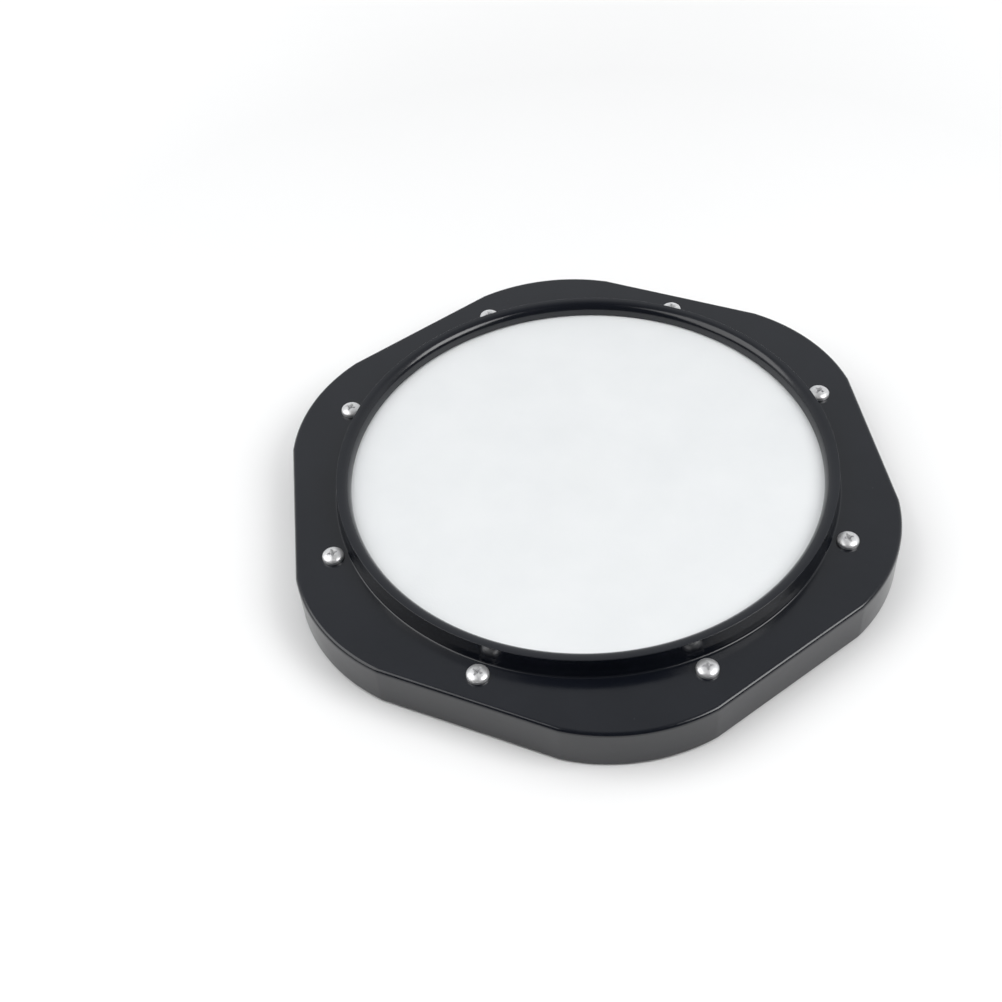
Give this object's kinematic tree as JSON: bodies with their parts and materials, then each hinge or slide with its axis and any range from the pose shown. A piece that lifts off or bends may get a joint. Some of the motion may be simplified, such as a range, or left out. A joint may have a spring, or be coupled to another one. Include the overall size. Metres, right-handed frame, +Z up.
{
  "type": "drum practice pad",
  "caption": "Tunable drum practice pad: round white head in a raised black ring on a low six-lobed plastic frame, tensioned by pan head screws.",
  "frame": {"origin": "on the surface the pad stands on, below the pad's centre", "axes": "+Z up, out of the playing surface; +X through a lobe of the frame, its longest direction; +Y through a flat"},
  "size_m": [0.2614, 0.2456, 0.029],
  "materials": {
    "cover_plastic": "satin",
    "tray_plastic": "matte",
    "head_film": "satin",
    "hoop_aluminium": "satin",
    "foam": "matte",
    "screw_zinc": "polished",
    "insert_brass": "satin",
    "foot_rubber": "matte"
  },
  "bodies": {
    "base": {"base_tray": "tray_plastic", "drum_head": "head_film", "head_hoop": "hoop_aluminium", "foam_disc": "foam", "threaded_insert_1": "insert_brass", "threaded_insert_2": "insert_brass", "threaded_insert_3": "insert_brass", "threaded_insert_4": "insert_brass", "threaded_insert_5": "insert_brass", "threaded_insert_6": "insert_brass", "threaded_insert_7": "insert_brass", "threaded_insert_8": "insert_brass", "foot_1": "foot_rubber", "foot_2": "foot_rubber", "foot_3": "foot_rubber", "foot_4": "foot_rubber", "foot_5": "foot_rubber", "foot_6": "foot_rubber"},
    "cover": {"top_cover": "cover_plastic"},
    "screw_1": {"tension_screw_1": "screw_zinc"},
    "screw_2": {"tension_screw_2": "screw_zinc"},
    "screw_3": {"tension_screw_3": "screw_zinc"},
    "screw_4": {"tension_screw_4": "screw_zinc"},
    "screw_5": {"tension_screw_5": "screw_zinc"},
    "screw_6": {"tension_screw_6": "screw_zinc"},
    "screw_7": {"tension_screw_7": "screw_zinc"},
    "screw_8": {"tension_screw_8": "screw_zinc"}
  },
  "joints": [
    {"name": "cover_lift", "type": "slide", "parent": "base", "child": "cover", "axis": [0, 0, 1], "range_m": [0, 0.0015]},
    {"name": "screw_1_turn", "type": "hinge", "parent": "cover", "child": "screw_1", "pos_m": [0.111, 0, 0.02], "axis": [0, 0, 1], "range_deg": [0, 675]},
    {"name": "screw_2_turn", "type": "hinge", "parent": "cover", "child": "screw_2", "pos_m": [0.07849, 0.07849, 0.02], "axis": [0, 0, 1], "range_deg": [0, 675]},
    {"name": "screw_3_turn", "type": "hinge", "parent": "cover", "child": "screw_3", "pos_m": [0, 0.111, 0.02], "axis": [0, 0, 1], "range_deg": [0, 675]},
    {"name": "screw_4_turn", "type": "hinge", "parent": "cover", "child": "screw_4", "pos_m": [-0.07849, 0.07849, 0.02], "axis": [0, 0, 1], "range_deg": [0, 675]},
    {"name": "screw_5_turn", "type": "hinge", "parent": "cover", "child": "screw_5", "pos_m": [-0.111, 0, 0.02], "axis": [0, 0, 1], "range_deg": [0, 675]},
    {"name": "screw_6_turn", "type": "hinge", "parent": "cover", "child": "screw_6", "pos_m": [-0.07849, -0.07849, 0.02], "axis": [0, 0, 1], "range_deg": [0, 675]},
    {"name": "screw_7_turn", "type": "hinge", "parent": "cover", "child": "screw_7", "pos_m": [0, -0.111, 0.02], "axis": [0, 0, 1], "range_deg": [0, 675]},
    {"name": "screw_8_turn", "type": "hinge", "parent": "cover", "child": "screw_8", "pos_m": [0.07849, -0.07849, 0.02], "axis": [0, 0, 1], "range_deg": [0, 675]}
  ],
  "couplings": [
    {"joint": "screw_1_turn", "follows": "cover_lift", "rad_per_m": 7853.9},
    {"joint": "screw_2_turn", "follows": "cover_lift", "rad_per_m": 7853.9},
    {"joint": "screw_3_turn", "follows": "cover_lift", "rad_per_m": 7853.9},
    {"joint": "screw_4_turn", "follows": "cover_lift", "rad_per_m": 7853.9},
    {"joint": "screw_5_turn", "follows": "cover_lift", "rad_per_m": 7853.9},
    {"joint": "screw_6_turn", "follows": "cover_lift", "rad_per_m": 7853.9},
    {"joint": "screw_7_turn", "follows": "cover_lift", "rad_per_m": 7853.9},
    {"joint": "screw_8_turn", "follows": "cover_lift", "rad_per_m": 7853.9}
  ]
}
